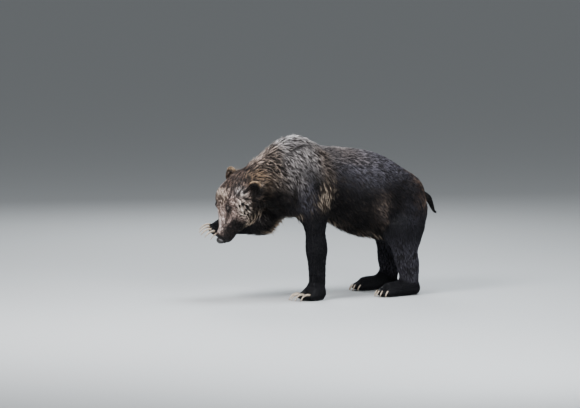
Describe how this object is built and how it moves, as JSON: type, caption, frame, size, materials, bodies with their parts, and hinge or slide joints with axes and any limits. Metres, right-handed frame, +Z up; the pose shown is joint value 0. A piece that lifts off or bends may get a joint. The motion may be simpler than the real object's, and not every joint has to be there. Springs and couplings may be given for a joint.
{
  "type": "grizzly bear",
  "caption": "Life-size still model of a grizzly bear standing with its head lowered and one forepaw reaching out, claws spread.",
  "frame": {"origin": "on the floor, under the middle of the bear's bounding box", "axes": "+X the way the bear faces, +Y its left, +Z up"},
  "size_m": [1.5566, 0.5252, 1.0016],
  "materials": {
    "coat": "long wet guard hair, dark brown, paler silvery tips on hump and flanks",
    "face_coat": "short hair, cinnamon brown",
    "nose": "moist black bare skin",
    "eye": "glossy dark brown",
    "claw": "pale worn horn"
  },
  "bodies": {
    "root": {"leg_front_left": "coat", "paw_front_left": "coat", "claw_front_left_1": "claw", "claw_front_left_2": "claw", "claw_front_left_3": "claw", "claw_front_left_4": "claw", "claw_front_left_5": "claw", "leg_front_right": "coat", "paw_front_right": "coat", "claw_front_right_1": "claw", "claw_front_right_2": "claw", "claw_front_right_3": "claw", "claw_front_right_4": "claw", "claw_front_right_5": "claw", "leg_hind_left": "coat", "paw_hind_left": "coat", "claw_hind_left_1": "claw", "claw_hind_left_2": "claw", "claw_hind_left_3": "claw", "claw_hind_left_4": "claw", "claw_hind_left_5": "claw", "leg_hind_right": "coat", "paw_hind_right": "coat", "claw_hind_right_1": "claw", "claw_hind_right_2": "claw", "claw_hind_right_3": "claw", "claw_hind_right_4": "claw", "claw_hind_right_5": "claw", "trunk": "coat", "neck": "coat", "eye_left": "eye", "eye_right": "eye", "nose": "nose", "lower_jaw": "face_coat", "head": "face_coat", "ear_left": "face_coat", "ear_right": "face_coat", "tail": "coat"}
  },
  "joints": []
}
